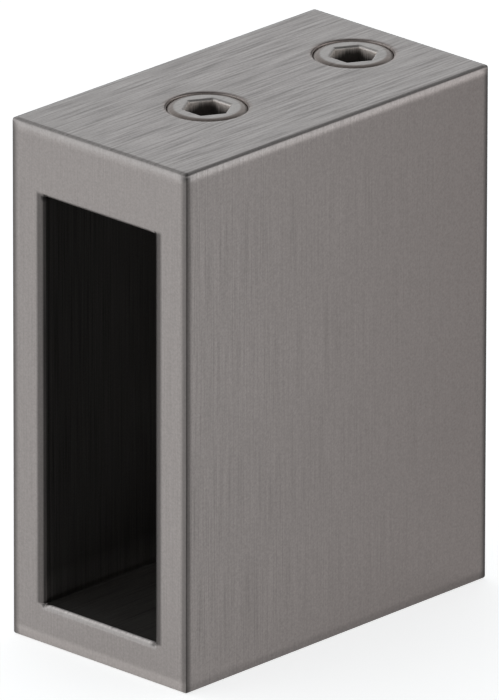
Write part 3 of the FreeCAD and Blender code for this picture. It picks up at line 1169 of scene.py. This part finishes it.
def make_floor_paint():
    material, tree, shader = new_material("pale_floor")
    grey = (FLOOR_GREY, FLOOR_GREY, FLOOR_GREY, 1)
    feed_all(shader, Base_Color=grey, Roughness=FLOOR_ROUGHNESS, Specular_IOR_Level=0.0)
    feed(shader["Emission Color"], (1, 1, 1, 1))
    ray = new_node(tree, "ShaderNodeLightPath", "kind of ray").outputs
    seen = calculate("MAXIMUM", "seen or mirrored", ray["Is Camera Ray"], ray["Is Glossy Ray"])
    shown = calculate("MAXIMUM", "or seen through glass", seen, ray["Is Transmission Ray"])
    feed(shader["Emission Strength"], product("glow", shown, FLOOR_GLOW))
    below = new_node(tree, "ShaderNodeNewGeometry", "seen from below").outputs["Backfacing"]
    clear = new_node(tree, "ShaderNodeBsdfTransparent", "clear from below").outputs[0]
    surface = tree.nodes["Material Output"].inputs["Surface"]
    paint = surface.links[0].from_socket
    feed(surface, fed_node("ShaderNodeMixShader", "one side only", below, paint, clear).outputs[0])
    return material


def make_floor(height):
    mesh = bpy.data.meshes.new("floor")
    sides = (-FLOOR_HALF, FLOOR_HALF)
    mesh.from_pydata([(x, y, height) for x in sides for y in sides], [], [(0, 2, 3, 1)])
    mesh.materials.append(make_floor_paint())
    floor = new_object("floor", mesh)


floor_height = cad_box[0].z - FLOOR_GAP
make_floor(floor_height)
show_mm("floor at z", floor_height)

# %% [markdown]
# Light
#
# Metal shows what it faces: here the front and the sides show the floor, the top shows the low sky, and the
# rounded top edges show the sky higher up. So there is no lamp, only a soft sky: bright all round near the
# horizon like a ring of tall screens, brightest low down, with a dimmer gap before the bracket and another
# behind it, and dim overhead. The rounded edges then get a dark line beside a light one.

# %% Sky
SKY_TINT = (0.975, 1.015, 1.035, 1)
HORIZON_SKY = 1.6
LOW_SKY = 1.28
HORIZON_TOP = 0.3
LOW_SKY_TOP = (0.5, 0.66)
DOME_SPAN = (-0.7, 0.5)
DOME_TONES = (0.6, 0.05)
# A gap's direction, and how nearly a ray points there where the gap starts and where it is full
GAPS = {"before": ((0.69, -0.73, 0.0), 0.35, 0.85), "behind": ((-0.04, 1.0, 0.0), 0.83, 0.93)}
GAP_SHARE = 0.3


def make_sky():
    """Sky whose strength follows the direction: its height is 0 at the horizon and 1 straight up."""
    world = bpy.data.worlds.new("soft_sky")
    bpy.context.scene.world = world
    world.use_nodes = True
    tree = world.node_tree
    direction = new_node(tree, "ShaderNodeTexCoord", "direction").outputs["Generated"]
    x, _, z = split(direction)
    dome = remap("from left to right", x, *DOME_SPAN, *DOME_TONES)
    high = ease("height", z, *LOW_SKY_TOP)
    screens = ease("brighter at the horizon", z, 0.0, HORIZON_TOP, HORIZON_SKY, LOW_SKY)
    for label, (middle, start, full) in GAPS.items():
        toward = fed_node("ShaderNodeVectorMath", f"toward the gap {label}", direction, middle)
        toward.operation = "DOT_PRODUCT"
        share = ease(f"gap {label}", toward.outputs["Value"], start, full, 1.0, GAP_SHARE)
        screens = product("screens", screens, share)
    strength = mix("FLOAT", "low or high", high, screens, dome)
    feed_all(tree.nodes["Background"].inputs, Color=SKY_TINT, Strength=strength)


make_sky()
print("sky: horizon", HORIZON_SKY, "low", LOW_SKY, "dome", DOME_TONES)

# %% [markdown]
# Camera
#
# The view is from the front right and a little above, almost without perspective, so the camera stands far
# away with a very long lens. Its scale is given in pixels for each metre of the bracket.

# %% Camera
AZIMUTH = 43.49
ELEVATION = 20.93
ROLL = 0.093
DISTANCE = 1.485
CLIP_END = 10.0
PIXELS_PER_METRE = 14130
IMAGE_HEIGHT = 700
AIM = Vector((0.38 * MM, -16.02 * MM, 1.28 * MM))


def make_camera():
    data = bpy.data.cameras.new("camera")
    data.lens = PIXELS_PER_METRE * DISTANCE * data.sensor_width / IMAGE_HEIGHT
    data.clip_end = CLIP_END
    camera = new_object("camera", data)
    turn, rise = math.radians(AZIMUTH), math.radians(ELEVATION)
    back = Vector((math.sin(turn) * math.cos(rise), -math.cos(turn) * math.cos(rise), math.sin(rise)))
    camera.location = AIM + back * DISTANCE
    camera.rotation_mode = "QUATERNION"
    roll = Quaternion((0, 0, 1), math.radians(ROLL))
    camera.rotation_quaternion = (-back).to_track_quat("-Z", "Y") @ roll
    bpy.context.scene.camera = camera
    return data


lens = make_camera().lens
bpy.context.scene.view_settings.view_transform = "Standard"
print("lens, mm:", round(lens, 1))
